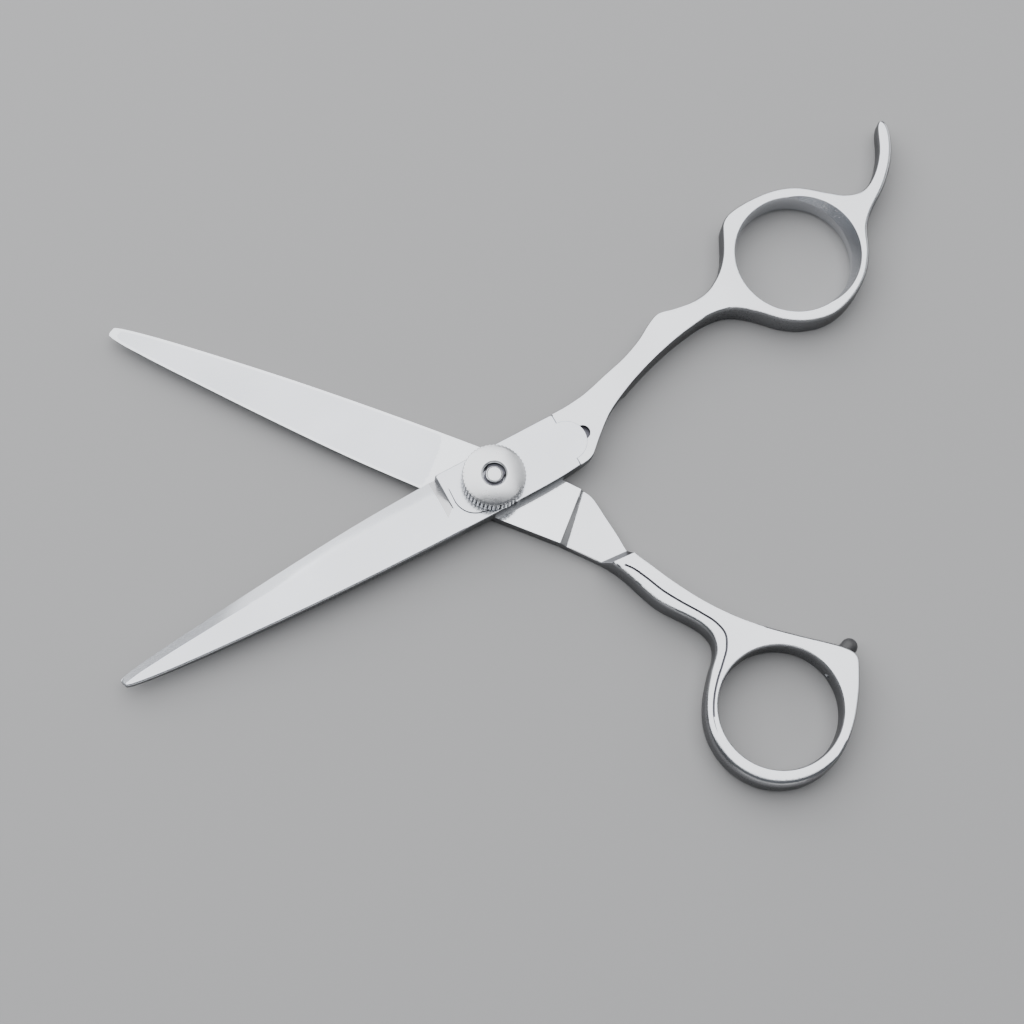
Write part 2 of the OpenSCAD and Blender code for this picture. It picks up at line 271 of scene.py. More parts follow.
def blunted(loop, far_x):
    """A loop with the corners beyond far_x cut off, twice."""
    for _ in range(2):
        out = []
        for p, q, r in zip(np.roll(loop, 1, 0), loop, np.roll(loop, -1, 0)):
            cut = q[0] < far_x
            out += [q + (p - q) * 0.25, q + (r - q) * 0.25] if cut else [q]
        loop = np.array(out)
    return loop


def smooth_loop(loop, spacing, corner=50):
    """A finer loop on a smooth curve through the points, which stays sharp at its corners."""
    sharp = corner_angles(loop) > corner
    out = []
    n = len(loop)
    for i in range(n):
        a, b, c, d = loop[i - 1], loop[i], loop[(i + 1) % n], loop[(i + 2) % n]
        span = np.linalg.norm(c - b)
        lead = (c - b) if sharp[i] else tangent(a, b, c) * span
        tail = (c - b) if sharp[(i + 1) % n] else tangent(b, c, d) * span
        steps = max(1, round(span / spacing))
        out += [cubic(b, lead, c, tail, k / steps) for k in range(steps)]
    return np.array(out)


def cubic(start, lead, end, tail, t):
    """A point on the smooth curve that leaves one point and reaches another in given directions."""
    return ((2 * t**3 - 3 * t**2 + 1) * start + (t**3 - 2 * t**2 + t) * lead
            + (3 * t**2 - 2 * t**3) * end + (t**3 - t**2) * tail)


def tangent(a, b, c):
    """Direction of a smooth curve at b."""
    p, q = np.linalg.norm(b - a), np.linalg.norm(c - b)
    way = (b - a) / p * q + (c - b) / q * p
    return way / np.linalg.norm(way)


def smooth_line(points, spacing):
    """An open smooth curve through the points."""
    ends = np.array([2 * points[0] - points[1], 2 * points[-1] - points[-2]])
    p = np.vstack([ends[:1], points, ends[1:]])
    out = []
    for i in range(1, len(p) - 2):
        span = np.linalg.norm(p[i + 1] - p[i])
        lead, tail = tangent(*p[i - 1:i + 2]) * span, tangent(*p[i:i + 3]) * span
        out += [cubic(p[i], lead, p[i + 1], tail, t) for t in np.arange(0, 1, spacing / span)]
    return np.array(out + [points[-1]])


def resampled(line, spacing):
    """A line with its long stretches cut into short ones."""
    out = [line[0]]
    for a, b in zip(line[:-1], line[1:]):
        count = max(1, round(np.linalg.norm(b - a) / spacing))
        out += [a + (b - a) * k / count for k in range(1, count + 1)]
    return np.array(out)


def circle(centre, radius, count):
    """Points round a circle, anticlockwise."""
    a = np.arange(count) * 2 * math.pi / count
    return np.array(centre) + radius * np.stack([np.cos(a), np.sin(a)], 1)


def nearest(points, chain):
    """For each point, its distance from an open chain, the nearest segment, and how far along it."""
    start, way = chain[:-1], chain[1:] - chain[:-1]
    length = (way**2).sum(1) + 1e-12
    out = []
    for part in np.array_split(points, max(1, len(points) // 2000)):
        off = part[:, None] - start
        t = np.clip((off * way).sum(2) / length, 0, 1)
        far = np.linalg.norm(off - t[..., None] * way, axis=2)
        found = np.arange(len(part)), far.argmin(1)
        out.append(np.column_stack([far[found], found[1], t[found]]))
    return np.vstack(out)


def distance(points, chain):
    """Distance from each point to an open chain of points."""
    return nearest(points, chain)[:, 0]


def outward(points, chain):
    """Outward direction of an outline at the place that is nearest to each point."""
    way = unit(np.diff(chain, axis=0))
    side = np.stack([way[:, 1], -way[:, 0]], 1)
    corner = np.vstack([side[:1], (side[:-1] + side[1:]) / 2, side[-1:]])
    found = nearest(points, chain)
    k, t = found[:, 1].astype(int), found[:, 2:]
    return corner[k] * (1 - t) + corner[k + 1] * t


def beside(points, line):
    """Signed distance from a straight line through two points, positive on its right."""
    way = (line[1] - line[0]) / np.linalg.norm(line[1] - line[0])
    return (points - line[0]) @ np.array([way[1], -way[0]])


def beside_line(line, offset):
    """An open line moved sideways, to its left if the offset is positive."""
    way = unit(np.gradient(line, axis=0))
    return line + offset * np.stack([-way[:, 1], way[:, 0]], 1)


def closed(loop):
    """A loop as a chain that ends at its first point."""
    return np.vstack([loop, loop[:1]])


def inside(points, loop):
    """Which points lie inside a closed loop."""
    x, y = points[:, 0], points[:, 1]
    odd = np.zeros(len(points), bool)
    for a, b in zip(loop, np.roll(loop, -1, 0)):
        if a[1] != b[1]:
            crosses = (a[1] > y) != (b[1] > y)
            odd ^= crosses & (x < a[0] + (y - a[1]) / (b[1] - a[1]) * (b[0] - a[0]))
    return odd


def ease(t):
    """A smooth step from 0 to 1."""
    t = np.clip(t, 0, 1)
    return t * t * (3 - 2 * t)


# ---- plates

def crossings(first, second):
    """Where two chains cross: the segment's number and how far along it, in the first and the second."""
    u, v = np.diff(first, axis=0)[:, None], np.diff(second, axis=0)[None]
    w = second[None, :-1] - first[:-1, None]
    det = u[..., 0] * v[..., 1] - u[..., 1] * v[..., 0]
    det = np.where(np.abs(det) < 1e-12, 1e12, det)
    t = (w[..., 0] * v[..., 1] - w[..., 1] * v[..., 0]) / det
    s = (w[..., 0] * u[..., 1] - w[..., 1] * u[..., 0]) / det
    hits = np.argwhere((t > 0) & (t < 1) & (s > 0) & (s < 1))
    return [(i, t[i, j], j, s[i, j]) for i, j in hits]


def with_crossings(loop, lines):
    """The loop with a point added wherever a line crosses it."""
    extra = {}
    for line in lines:
        for i, t, _, _ in crossings(closed(loop), line):
            if 0.01 < t < 0.99:
                extra.setdefault(i, []).append(t)
    out = []
    for i, (a, b) in enumerate(zip(loop, np.roll(loop, -1, 0))):
        out += [a, *(a + t * (b - a) for t in sorted(extra.get(i, ())))]
    return np.array(out)


def clipped(line, loop, gap=0.005):
    """The parts of a line that are inside the loop, each ending just short of it."""
    cuts = sorted((j, s) for _, _, j, s in crossings(closed(loop), line))
    marks = [(i, 0.0) for i in range(len(line))]
    parts, part = [], []
    for (i, s), (k, t) in zip(sorted(marks + cuts), sorted(marks + cuts)[1:]):
        at = line[i] + s * (line[min(i + 1, len(line) - 1)] - line[i])
        to = line[k] + t * (line[min(k + 1, len(line) - 1)] - line[k])
        way = (to - at) / max(np.linalg.norm(to - at), 1e-9)
        if not inside(np.array([(at + to) / 2]), loop)[0]:
            parts.append(part)
            part = []
            continue
        if not part:
            part = [at + way * gap * (s > 0)]
        part.append(to - way * gap * (t > 0))
    parts.append(part)
    return [np.array(p) for p in parts if len(p) > 1 and np.linalg.norm(p[-1] - p[0]) > 0.02]


def inset_points(loop, inset):
    """Points at a distance inside the loop, where there is room for them."""
    way = unit(np.roll(loop, -1, 0) - loop) + unit(loop - np.roll(loop, 1, 0))
    half = lengths(way) / 2
    normal = np.stack([-way[:, 1], way[:, 0]], 1) / (2 * half[:, None])
    moved = loop + normal * (inset / np.maximum(half, 0.5))[:, None]
    keep = (distance(moved, closed(loop)) > 0.97 * inset) & inside(moved, loop)
    return moved[keep]


def spread_points(loop, gap, margin):
    """A staggered grid of points inside the loop, clear of it by the margin."""
    low, high = loop.min(0), loop.max(0)
    rows = np.arange(low[1], high[1], gap * 0.866)
    grid = np.array([[x + (k % 2) * gap / 2, y] for k, y in enumerate(rows)
                     for x in np.arange(low[0], high[0], gap)])
    grid = grid[inside(grid, loop)]
    return grid[distance(grid, closed(loop)) > margin]


def sides_of(row):
    """The sides of a closed row of vertex numbers, or of a face."""
    return list(zip(row, [*row[1:], row[0]]))


def filled(faces, rim, hole):
    """The faces reached from inside the rim without crossing it or the hole's edge."""
    owner = {side: n for n, face in enumerate(faces) for side in sides_of(face)}
    walls = {side for a, b in sides_of(rim) + sides_of(hole) for side in ((a, b), (b, a))}
    waiting = [owner[side] for side in sides_of(rim)]
    kept = set(waiting)
    while waiting:
        for a, b in sides_of(faces[waiting.pop()]):
            n = owner.get((b, a))
            if (a, b) not in walls and n is not None and n not in kept:
                kept.add(n)
                waiting.append(n)
    return np.array([faces[n] for n in sorted(kept)])


def face_mesh(loop, ring, lines, insets, gap):
    """Points and triangles that fill the loop outside the ring, and the vertex numbers of loop and ring."""
    lines = [resampled(part, gap * 0.6) for line in lines for part in clipped(line, loop)]
    fill = [inset_points(loop, i) for i in insets]
    fill.append(spread_points(loop, gap, insets[-1] + 0.4 * gap))
    fill = np.vstack(fill)
    centre = ring.mean(0)
    radius = np.linalg.norm(ring[0] - centre)
    fill = fill[lengths(fill - centre) > radius + 0.1]
    for line in lines:
        fill = fill[distance(fill, line) > 0.12]
    points = [loop, ring, fill]
    n = len(loop)
    edges = [(i, (i + 1) % n) for i in range(n)]
    edges += [(n + i, n + (i + 1) % len(ring)) for i in range(len(ring))]
    count = sum(len(p) for p in points)
    for line in lines:
        edges += [(count + i, count + i + 1) for i in range(len(line) - 1)]
        count += len(line)
        points.append(line)
    points = np.vstack(points)
    made = delaunay_2d_cdt([Vector(p) for p in points], edges, [], 1, 1e-5, True)
    flat = np.array([v[:] for v in made[0]])
    place = {old: new for new, olds in enumerate(made[3]) for old in olds}
    rim = [place[i] for i in range(n)]
    hole = [place[n + i] for i in range(len(ring))]
    return flat, filled(made[2], rim, hole), rim, hole


class Shell:
    """Collects the vertices and faces of one closed mesh, in millimetres."""

    def __init__(self):
        self.points = []
        self.faces = []

    def add(self, points, faces):
        start = len(self.points)
        self.points += [tuple(p) for p in points]
        self.faces += [tuple(start + int(i) for i in f) for f in faces]
        return start

    def row(self, flat, z):
        """Adds a row of vertices at one height, and gives their numbers."""
        start = self.add(np.column_stack([flat, np.full(len(flat), z)]), [])
        return list(range(start, start + len(flat)))

    def bridge(self, upper, lower):
        """Faces between two closed rows of vertices, either of which may be one vertex repeated."""
        for i, (a, b) in enumerate(zip(upper, lower)):
            j = (i + 1) % len(upper)
            face = tuple(dict.fromkeys((a, b, lower[j], upper[j])))
            if len(face) > 2:
                self.faces.append(face)


def plate(loop, top, bottom, insets, top_lines, bottom_lines, hole, gap=0.6):
    """A closed plate with shaped faces, and a round hole.
    The hole is its centre, and its profile of radius and height from the top down."""
    loop = with_crossings(loop, [*top_lines, *bottom_lines])
    shell = Shell()
    centre, profile = hole
    sides = []
    for shape, lines, end, up in ((top, top_lines, 0, True), (bottom, bottom_lines, -1, False)):
        ring = circle(centre, profile[end][0], RING_POINTS)
        flat, faces, rim, inner = face_mesh(loop, ring, lines, insets, gap)
        z = shape(flat)
        start = shell.add(np.column_stack([flat, z]), faces if up else faces[:, ::-1])
        sides.append(([start + i for i in rim], [start + i for i in inner]))
    shell.bridge(sides[0][0], sides[1][0])
    rows = [shell.row(circle(centre, radius, RING_POINTS), z) for radius, z in profile[1:-1]]
    rows = [sides[0][1], *rows, sides[1][1]]
    for upper, lower in zip(rows, rows[1:]):
        shell.bridge(lower, upper)
    return shell


def make_piece(name, shell, turn=0.0, place=Matrix.Identity(4), smooth=SHARP):
    """A Blender object from a shell: placed, turned about the pivot axis, and scaled to metres."""
    mesh = bpy.data.meshes.new(name)
    mesh.from_pydata(shell.points, [], shell.faces)
    mesh.transform(Matrix.Scale(MM, 4) @ Matrix.Rotation(math.radians(turn), 4, "Z") @ place)
    bm = bmesh.new()
    bm.from_mesh(mesh)
    bmesh.ops.remove_doubles(bm, verts=bm.verts, dist=1e-8)
    bmesh.ops.recalc_face_normals(bm, faces=bm.faces)
    bm.to_mesh(mesh)
    bm.free()
    piece = bpy.data.objects.new(name, mesh)
    bpy.context.scene.collection.objects.link(piece)
    shade(piece, smooth)
    return piece


def shade(piece, smooth):
    """Smooth shading, with sharp edges where faces meet at more than an angle."""
    piece.data.shade_smooth()
    piece.data.set_sharp_from_angle(angle=math.radians(smooth))


def carve(piece, cutter, turn=0.0, place=Matrix.Identity(4), mode="DIFFERENCE", smooth=SHARP):
    """Applies a boolean with a shell, or with another piece, which is used up."""
    if isinstance(cutter, Shell):
        cutter = make_piece("cutter", cutter, turn, place)
    tool = piece.modifiers.new("carve", "BOOLEAN")
    tool.operation = mode
    tool.object = cutter
    tool.solver = "EXACT"
    graph = bpy.context.evaluated_depsgraph_get()
    result = bpy.data.meshes.new_from_object(piece.evaluated_get(graph))
    piece.modifiers.clear()
    old = piece.data
    name = old.name
    piece.data = result
    bpy.data.meshes.remove(old)
    result.name = name
    bpy.data.objects.remove(cutter)
    shade(piece, smooth)


def solid_box(low, high):
    """A plain box, used only to cut other pieces."""
    corners = [[(low, high)[i >> k & 1][k] for k in range(3)] for i in range(8)]
    shell = Shell()
    shell.add(corners, [(0, 2, 3, 1), (4, 5, 7, 6), (0, 1, 5, 4), (2, 6, 7, 3), (0, 4, 6, 2), (1, 3, 7, 5)])
    return shell


def lathe(profile, count, wave=None, ring=False):
    """A closed solid of revolution from a profile of radius and height, or a ring if the profile closes.
    wave(angle, r, z) changes the radius."""
    shell = Shell()
    rows = []
    for r, z in profile:
        if r < 1e-6:
            rows.append(shell.row(np.zeros((1, 2)), z) * count)
            continue
        a = np.arange(count) * 2 * math.pi / count
        radius = r + (wave(a, r, z) if wave else 0 * a)
        rows.append(shell.row(np.column_stack([radius * np.cos(a), radius * np.sin(a)]), z))
    if ring:
        rows.append(rows[0])
    for upper, lower in zip(rows, rows[1:]):
        shell.bridge(upper, lower)
    return shell


# ---- materials

def material(name, colour, metallic, roughness):
    """A new node material, and its node tree and shader."""
    made = bpy.data.materials.new(name)
    made.use_nodes = True
    shader = made.node_tree.nodes["Principled BSDF"]
    shader.inputs["Base Color"].default_value = (*colour, 1)
    shader.inputs["Metallic"].default_value = metallic
    shader.inputs["Roughness"].default_value = roughness
    return made, made.node_tree, shader


def noise(tree, source, scale, detail=3, stretch=(1, 1, 1)):
    """Noise in the piece's own coordinates, stretched."""
    mapping = tree.nodes.new("ShaderNodeMapping")
    mapping.inputs["Scale"].default_value = stretch
    tree.links.new(source, mapping.inputs["Vector"])
    grain = tree.nodes.new("ShaderNodeTexNoise")
    grain.inputs["Scale"].default_value = scale
    grain.inputs["Detail"].default_value = detail
    tree.links.new(mapping.outputs["Vector"], grain.inputs["Vector"])
    return grain.outputs["Fac"]


def ranged(tree, source, low, high, out_low, out_high):
    """A value moved from one range to another."""
    node = tree.nodes.new("ShaderNodeMapRange")
    for socket, value in zip(("From Min", "From Max", "To Min", "To Max"), (low, high, out_low, out_high)):
        node.inputs[socket].default_value = value
    tree.links.new(source, node.inputs["Value"])
    return node.outputs["Result"]


def worked_out(tree, operation, *values):
    """A value worked out by a math node from numbers and other nodes' outputs."""
    node = tree.nodes.new("ShaderNodeMath")
    node.operation = operation
    for socket, value in zip(node.inputs, values):
        if isinstance(value, float):
            socket.default_value = value
        else:
            tree.links.new(value, socket)
    return node.outputs[0]


def steel(name, colour, roughness, stretch=(4, 90, 40), grain=0.000004, glance=1.0):
    """Metal with fine finishing lines along the piece, cloudy roughness and a fine bump.
    glance is how bright it stays when seen almost along its surface."""
    spread = 0.05
    made, tree, shader = material(name, colour, 1.0, roughness)
    shader.inputs["Specular Tint"].default_value = (glance, glance, glance, 1)
    place = tree.nodes.new("ShaderNodeTexCoord").outputs["Object"]
    lines = noise(tree, place, 100, 4, stretch)
    clouds = noise(tree, place, 90, 3)
    lined = ranged(tree, lines, 0.3, 0.7, roughness - spread, roughness + spread)
    clouded = ranged(tree, clouds, 0.35, 0.65, -spread / 2, spread / 2)
    tree.links.new(worked_out(tree, "ADD", lined, clouded), shader.inputs["Roughness"])
    tone = tree.nodes.new("ShaderNodeMix")
    tone.data_type = "RGBA"
    tone.inputs["A"].default_value = (*[c * 0.9 for c in colour], 1)
    tone.inputs["B"].default_value = (*colour, 1)
    streaks = ranged(tree, lines, 0.35, 0.65, 0, 1)
    mottle = ranged(tree, noise(tree, place, 55, 2), 0.35, 0.65, 0, 0.65)
    tree.links.new(worked_out(tree, "MULTIPLY_ADD", streaks, 0.35, mottle), tone.inputs["Factor"])
    tree.links.new(tone.outputs["Result"], shader.inputs["Base Color"])
    bump = tree.nodes.new("ShaderNodeBump")
    bump.inputs["Strength"].default_value = 0.5
    bump.inputs["Distance"].default_value = grain
    tree.links.new(lines, bump.inputs["Height"])
    tree.links.new(bump.outputs["Normal"], shader.inputs["Normal"])
    return made


# ---- handles

def flank_size(x):
    """How far the rounded flank of a handle reaches in, and down, at a distance from the pivot."""
    return np.interp(x, FLANK_X, FLANK_IN), np.interp(x, FLANK_X, FLANK_DOWN)


def flank_share(outer, flanks):
    """Size of a handle's flank by the outward direction that it faces."""
    least, greatest, lee = flanks
    return least + (greatest - least) * ease(outer @ direction(lee) + 0.5)


def flank_crease(loop, flanks):
    """The line part of the way up the flank, outside which it is steep and painted dark as shade."""
    way = unit(unit(np.roll(loop, -1, 0) - loop) + unit(loop - np.roll(loop, 1, 0)))
    outer = np.stack([way[:, 1], -way[:, 0]], 1)
    reach = CREASE * flank_size(loop[:, 0])[0] * flank_share(outer, flanks)
    reach *= np.clip((loop[:, 0] - BUTT_X - 0.1) / 2, 0, 1)
    return loop - outer * reach[:, None]


def flank_drop(points, loop, flanks, size=1.0):
    """How far the face of a handle falls towards its outline: rounded flanks, but a crisp butt end."""
    butt = (np.abs(loop[:, 0] - BUTT_X) < 0.02) & (np.abs(np.roll(loop, -1, 0)[:, 0] - BUTT_X) < 0.02)
    first = (np.argmax(butt) + 1) % len(loop)
    flank = np.roll(loop, -first, 0)
    size = size * flank_share(outward(points, flank), flanks)
    inward, down = flank_size(points[:, 0])
    t = np.clip(1 - distance(points, flank) / (inward * size), 0, 1)
    drop = down * np.minimum(size, 1) * (1 - np.sqrt(1 - t * t))
    return drop + shoulder_drop(points, points[:, 0] - BUTT_X)


def shoulder_drop(points, far):
    """A small chamfer at the butt joint, on the shoulders beside the tongue."""
    return BUTT_DROP * np.clip(1 - far / BUTT_RUN, 0, 1) * (np.abs(points[:, 1]) > TONGUE_R)


def ramp_width(y):
    """Width of the ramp behind the butt joint, which narrows towards one side."""
    return np.maximum(RAMP_W - RAMP_TAPER * y, RAMP_LEAST)


def rest_drop(points):
    """How far each face of the finger rest falls towards its tip."""
    return REST_THIN * np.clip((points - REST_ROOT) @ direction(REST_TURN) / REST_LEN, 0, 1)


def inner_face(points, step, haft_h):
    """Height of a handle's inner face over its outer face: set back at the haft, full at the ring."""
    past = beside(points, step)
    ramp = (HALF_T - haft_h) * np.clip(1 - (points[:, 0] - BUTT_X) / ramp_width(points[:, 1]), 0, 1)
    rise = np.clip(past / STEP_RUN, 0, 1)
    return haft_h + ramp + (FULL_T - haft_h) * rise


def groove_drop(points, line):
    """A facet along the thumb shank, outside a fine groove that fades out round the ring."""
    near = distance(points, line)
    along = np.interp(points[:, 0] - points[:, 1], GROOVE_ALONG, GROOVE_SHARE)
    outer = inside(points, np.vstack([line, [[50, -40], [20, -40], [20, -8]]]))
    facet = np.where(outer, np.clip(near, 0, FACET_W) * FACET_SLOPE, 0)
    groove = GROOVE_H * np.clip(1 - near / GROOVE_W, 0, 1)
    return facet * ease(along) + groove * along


def across(line, offset):
    """A line beside a step line, and a little longer."""
    way = (line[1] - line[0]) / np.linalg.norm(line[1] - line[0])
    side = np.array([way[1], -way[0]]) * offset
    return np.array([line[0] - way + side, line[1] + way + side])


def bore_profile():
    """Radius and height down a ring's bore: rounded lips and a straight wall."""
    rise = (FULL_T - BORE_LEN) / 2
    turns = np.radians(np.arange(90, -1, -11.25))
    wall_top = (FULL_T + BORE_LEN) / 2
    upper = [(BORE_R + LIP * (1 - math.cos(a)), wall_top + rise * math.sin(a)) for a in turns]
    return upper + [(r, FULL_T - z) for r, z in reversed(upper)]


def half_place(mount, turn):
    """Where a mount lies in its half's own frame."""
    found = next(m for m in frame["record"]["mounts"] if m["name"] == mount)
    return turned([np.array(found["pos_m"][:2]) / MM], -turn)[0]


def placed(x, y, z=0.0, turn=0.0, tip=0.0):
    """A place: tipped about Y, turned about Z, then moved."""
    spin = Matrix.Rotation(math.radians(turn), 4, "Z") @ Matrix.Rotation(math.radians(tip), 4, "Y")
    return Matrix.Translation((x, y, z)) @ spin


def rod(radius, low, high, count=96):
    """A plain round rod along Z, used only to cut other pieces."""
    return lathe([(0, low), (radius, low), (radius, high), (0, high)], count)


def cut_tongue_seat(piece, turn, flip):
    """Takes the seat of the blade's tongue and the relief hole out of a handle's outer side."""
    for x, radius, depth in ((TONGUE_X, TONGUE_R + SEAT, TONGUE_T + SEAT), (RELIEF_X, RELIEF_R, TONGUE_T)):
        carve(piece, rod(radius, -1, depth), turn, flip @ placed(x, 0))


def handle(node, outline_z, turn, step, haft_h, bore, flanks, groove=None, flipped=False):
    """A haft, shank and ring, and the crease along its flanks.
    It is worked out with its outer side at z = 0, and a flipped handle is then turned over."""
    loop = smooth_loop(cad_outline(node, outline_z, -turn), 0.4)
    lines = [across(step, 0.0), across(step, STEP_RUN)]
    lines += [np.array([[BUTT_X + ramp_width(-8), -8], [BUTT_X + ramp_width(8), 8]])]
    crease = flank_crease(loop, flanks)
    parts = closed(crease[crease[:, 0] > BUTT_X + 3])
    parts = np.split(parts, np.where(lengths(np.diff(parts, axis=0)) > 2)[0] + 1)
    parts = [part for part in parts if len(part) > 2]
    lines += parts
    if groove is not None:
        groove = smooth_line(groove, 0.5)

    def top(points):
        crisp = 0.25 + 0.75 * ease(beside(points, step) / STEP_RUN)
        z = inner_face(points, step, haft_h) - flank_drop(points, loop, flanks, crisp) - rest_drop(points)
        return z - (groove_drop(points, groove) if groove is not None else 0)

    def bottom(points):
        return flank_drop(points, loop, flanks) + rest_drop(points)

    if groove is not None:
        lines = [beside_line(groove, side * GROOVE_W) for side in (-1, 0, 1)] + lines
    shell = plate(loop, top, bottom, FLANK_INSETS, lines, parts, (bore, bore_profile()))
    flip = Matrix.Identity(4)
    if flipped:
        flip = Matrix.Translation((0, 0, FULL_T)) @ Matrix.Scale(-1, 4, (0, 0, 1))
    piece = make_piece(f"{node}_forged", shell, turn, flip)
    cut_tongue_seat(piece, turn, flip)
    return piece, crease


def bumper_place():
    """Where the bumper stands: its seat on the thumb ring's corner, with +Z outwards."""
    return placed(*BUMPER_SEAT, FULL_T / 2, BUMPER_TURN, 90)


def thumb_handle():
    """The grooved handle, with the seat of the bumper and its stud, and its crease."""
    bore = half_place("thumb_ring_bore", -HALF_OPEN)
    piece, crease = handle("thumb_handle", THUMB_CUT, -HALF_OPEN, THUMB_STEP,
                           HAFT_H, bore, THUMB_FLANKS, GROOVE)
    for radius, low, high in ((STEM_R, -STUD_END - 1, 0), (BUMPER_R, -BUMPER_SUNK, BUMPER_H)):
        carve(piece, rod(radius + SEAT, low, high), -HALF_OPEN, bumper_place())
    return piece, crease


def finger_handle():
    """The handle with the finger rest and a scooped bore, and its crease."""
    bore = half_place("finger_ring_bore", HALF_OPEN)
    piece, crease = handle("finger_handle", FINGER_CUT, HALF_OPEN, FINGER_STEP,
                           HAFT_H - GAP, bore, FINGER_FLANKS, flipped=True)
    scoop = [(0, FULL_T - SCOOP_DEPTH), (SCOOP_LOW, FULL_T - SCOOP_DEPTH), (SCOOP_TOP, FULL_T)]
    scoop += [(SCOOP_TOP + 0.2, FULL_T + 0.3), (0, FULL_T + 0.3)]
    middle = bore + SCOOP_OFF * direction(SCOOP_TURN)
    carve(piece, lathe(scoop, 180), HALF_OPEN, placed(*middle))
    return piece, crease


# ---- blades
# A blade is worked out with its inner face at z = 0, its outer face up and its cutting edge on +Y.

def blade_chains(loop):
    """The cutting edge and the spine of a blade's outline, each an open chain of points."""
    upper = np.argmin(lengths(loop - [TONGUE_X, 5.5]))
    loop = np.roll(loop, -upper, 0)
    tip = np.argmin(loop[:, 0])
    lower = np.argmin(lengths(loop - [TONGUE_X, -5.5]))
    return loop[:tip - 1], loop[tip - 2:lower + 1]


def round_drop(far, size):
    """How far a rounded edge of a given size falls, at a distance from it."""
    t = np.clip(1 - far / size, 0, 1)
    return size * (1 - np.sqrt(1 - t * t))


def facet_crease(edge):
    """The line where the flat facet near the tip meets the face."""
    reach = (np.interp(edge[:, 0], FACE_X, FACE_H) - EDGE_T) / EDGE_SLOPE
    crease = beside_line(edge, 1.0)
    crease = edge + (crease - edge) * reach[:, None]
    return crease[(crease[:, 0] < -46) & (crease[:, 0] > -72.3)]


def ground_face(points, edge):
    """Height of the outer face, ground convex towards the cutting edge and with a flat facet near the tip."""
    x = points[:, 0]
    face = np.interp(x, FACE_X, FACE_H)
    far = distance(points, edge)
    wide = np.interp(x, CONVEX_X, CONVEX_W)
    convex = face - (face - EDGE_T) * np.clip(1 - far / wide, 0, 1)**2
    facet = np.minimum(face, EDGE_T + EDGE_SLOPE * far)
    return convex + (facet - convex) * ease((FACET_FROM - x) / FACET_RUN)


def outer_face(points, edge, spine, land):
    """Height of a blade's outer face, with the heel cut and the land round the pivot."""
    x, y = points[:, 0], points[:, 1]
    ground = ground_face(points, edge) - round_drop(distance(points, spine), SPINE_ROUND)
    cut_x = np.interp(y, HEEL_CUT[1::-1, 1], HEEL_CUT[1::-1, 0])
    in_cut = inside(points, np.vstack([HEEL_CUT, HEEL[::-1] + [HEEL_WALL / 2, 0]]))
    deep = np.minimum((x - cut_x) / (HEEL[0, 0] - cut_x), distance(points, HEEL_CUT[1:]) / 2)
    ground = np.where(in_cut, ground - HEEL_SINK * np.clip(deep, 0, 1), ground)
    face = np.interp(x, FACE_X, FACE_H)
    shelf = face + (HALF_T - face) * np.clip((y + 1) / 4, 0, 1)
    on_land = inside(points, np.vstack([land, [[30, -20], [30, 20]]]))
    rise = np.where(on_land, np.clip(distance(points, land) / LAND_WALL, 0, 1), 0)
    raised = shelf + (HALF_T - shelf) * rise
    rims = np.minimum(distance(points, spine), distance(points, edge))
    raised = raised - round_drop(rims, SPINE_ROUND * 0.7) - shoulder_drop(points, TONGUE_X - x)
    behind = x > np.interp(y, HEEL[::-1, 1], HEEL[::-1, 0]) + HEEL_WALL / 2
    return np.maximum(np.where(behind, raised, ground), EDGE_T)


def inner_hollow(points, edge, spine):
    """Depth of the hollow grind, inside a flat ride line along both edges."""
    x = points[:, 0]
    near, far = distance(points, edge), distance(points, spine)
    v = np.clip((near - RIDE_W) / np.maximum(near + far - 2 * RIDE_W, 0.1), 0, 1)
    return HOLLOW * 4 * v * (1 - v) * ease((HOLLOW_X[1] - x) / 5) * ease((x - HOLLOW_X[0]) / 6)


def ride_lines(edge, spine):
    """Lines at the inner borders of the ride line, one along each edge."""
    lines = [beside_line(edge, RIDE_W), beside_line(spine, RIDE_W)]
    return [line[(line[:, 0] < -9) & (line[:, 0] > -70.5)] for line in lines]


def blade(node, cut_z, turn, place, hole, mirrored=False):
    """A ground blade with its tongue."""
    loop = cad_outline(node, cut_z, -turn)
    if mirrored:
        loop = loop[::-1] * [1, -1]
    loop = smooth_loop(blunted(loop, TIP_ROUND_X), 0.45, 60)
    edge, spine = blade_chains(loop)
    land = smooth_line(LAND, 0.4)
    lines = [HEEL, HEEL + [HEEL_WALL, 0], HEEL_CUT, land, beside_line(land, LAND_WALL), facet_crease(edge)]
    shell = plate(loop, lambda p: outer_face(p, edge, spine, land), lambda p: inner_hollow(p, edge, spine),
                  BLADE_INSETS, lines, ride_lines(edge, spine), ((0, 0), hole), 0.5)
    piece = make_piece(f"{node}_ground", shell, turn, place)
    tongue = lathe([(0, HALF_T - TONGUE_T), (TONGUE_R, HALF_T - TONGUE_T), (TONGUE_R, HALF_T - 0.04),
                    (TONGUE_R - 0.04, HALF_T), (0, HALF_T)], 96)
    tongue = make_piece("tongue", tongue, turn, place @ placed(TONGUE_X, 0))
    carve(tongue, solid_box((TONGUE_X - 9, -9, -1), (TONGUE_X - 0.2, 9, 9)), turn, place)
    carve(piece, tongue, mode="UNION")
    return piece


def finger_blade():
    """The upper blade, bored for the bush and the lower race."""
    hole = [(RACE_R, HALF_T), (RACE_R, BUSH_LEN), (BUSH_R, BUSH_LEN), (BUSH_R, 0)]
    return blade("finger_blade", FINGER_Z + EDGE_T + EDGE_SLICE, HALF_OPEN,
                 Matrix.Translation((0, 0, FINGER_Z)), hole)


